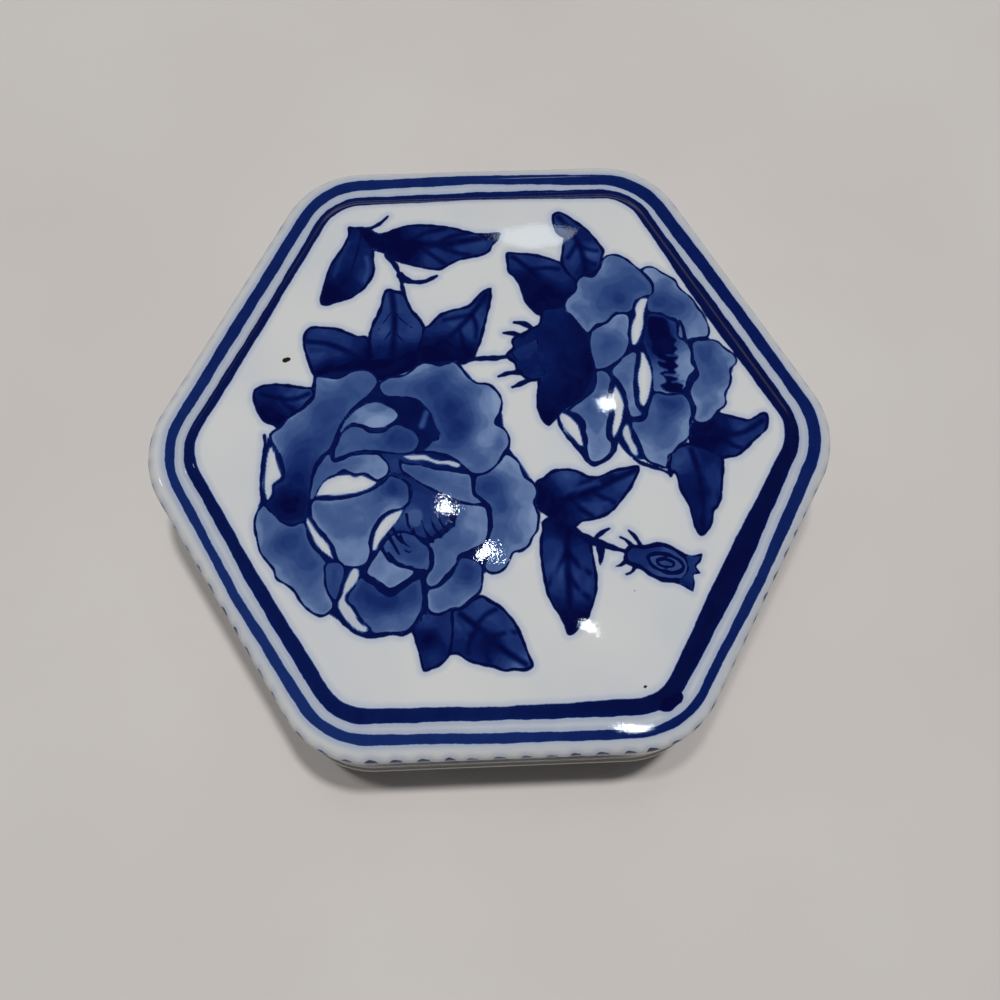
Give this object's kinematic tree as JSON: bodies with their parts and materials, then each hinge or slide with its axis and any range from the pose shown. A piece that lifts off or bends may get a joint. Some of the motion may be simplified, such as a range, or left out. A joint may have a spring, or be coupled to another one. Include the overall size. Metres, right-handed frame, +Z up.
{
  "type": "seal paste box",
  "caption": "Low hexagonal porcelain box with a domed lift-off lid, a raised inner lip and a round cake of red seal paste in its well.",
  "frame": {"origin": "middle of the foot ring's footprint, on the surface that the box stands on", "axes": "+Z up through the lid, +X towards a corner of the hexagon, +Y square to a flat side"},
  "size_m": [0.0866, 0.078, 0.0316],
  "materials": {
    "glaze": "white porcelain under a clear glaze, painted in cobalt blue",
    "paste": "soft oily vermilion paste with a satin sheen"
  },
  "bodies": {
    "base": {"base": "glaze", "seal_paste": "paste"},
    "lid": {"lid": "glaze"}
  },
  "joints": [
    {"name": "lid_lift", "type": "slide", "parent": "base", "child": "lid", "axis": [0, 0, 1], "range_m": [0, 0.06]}
  ]
}
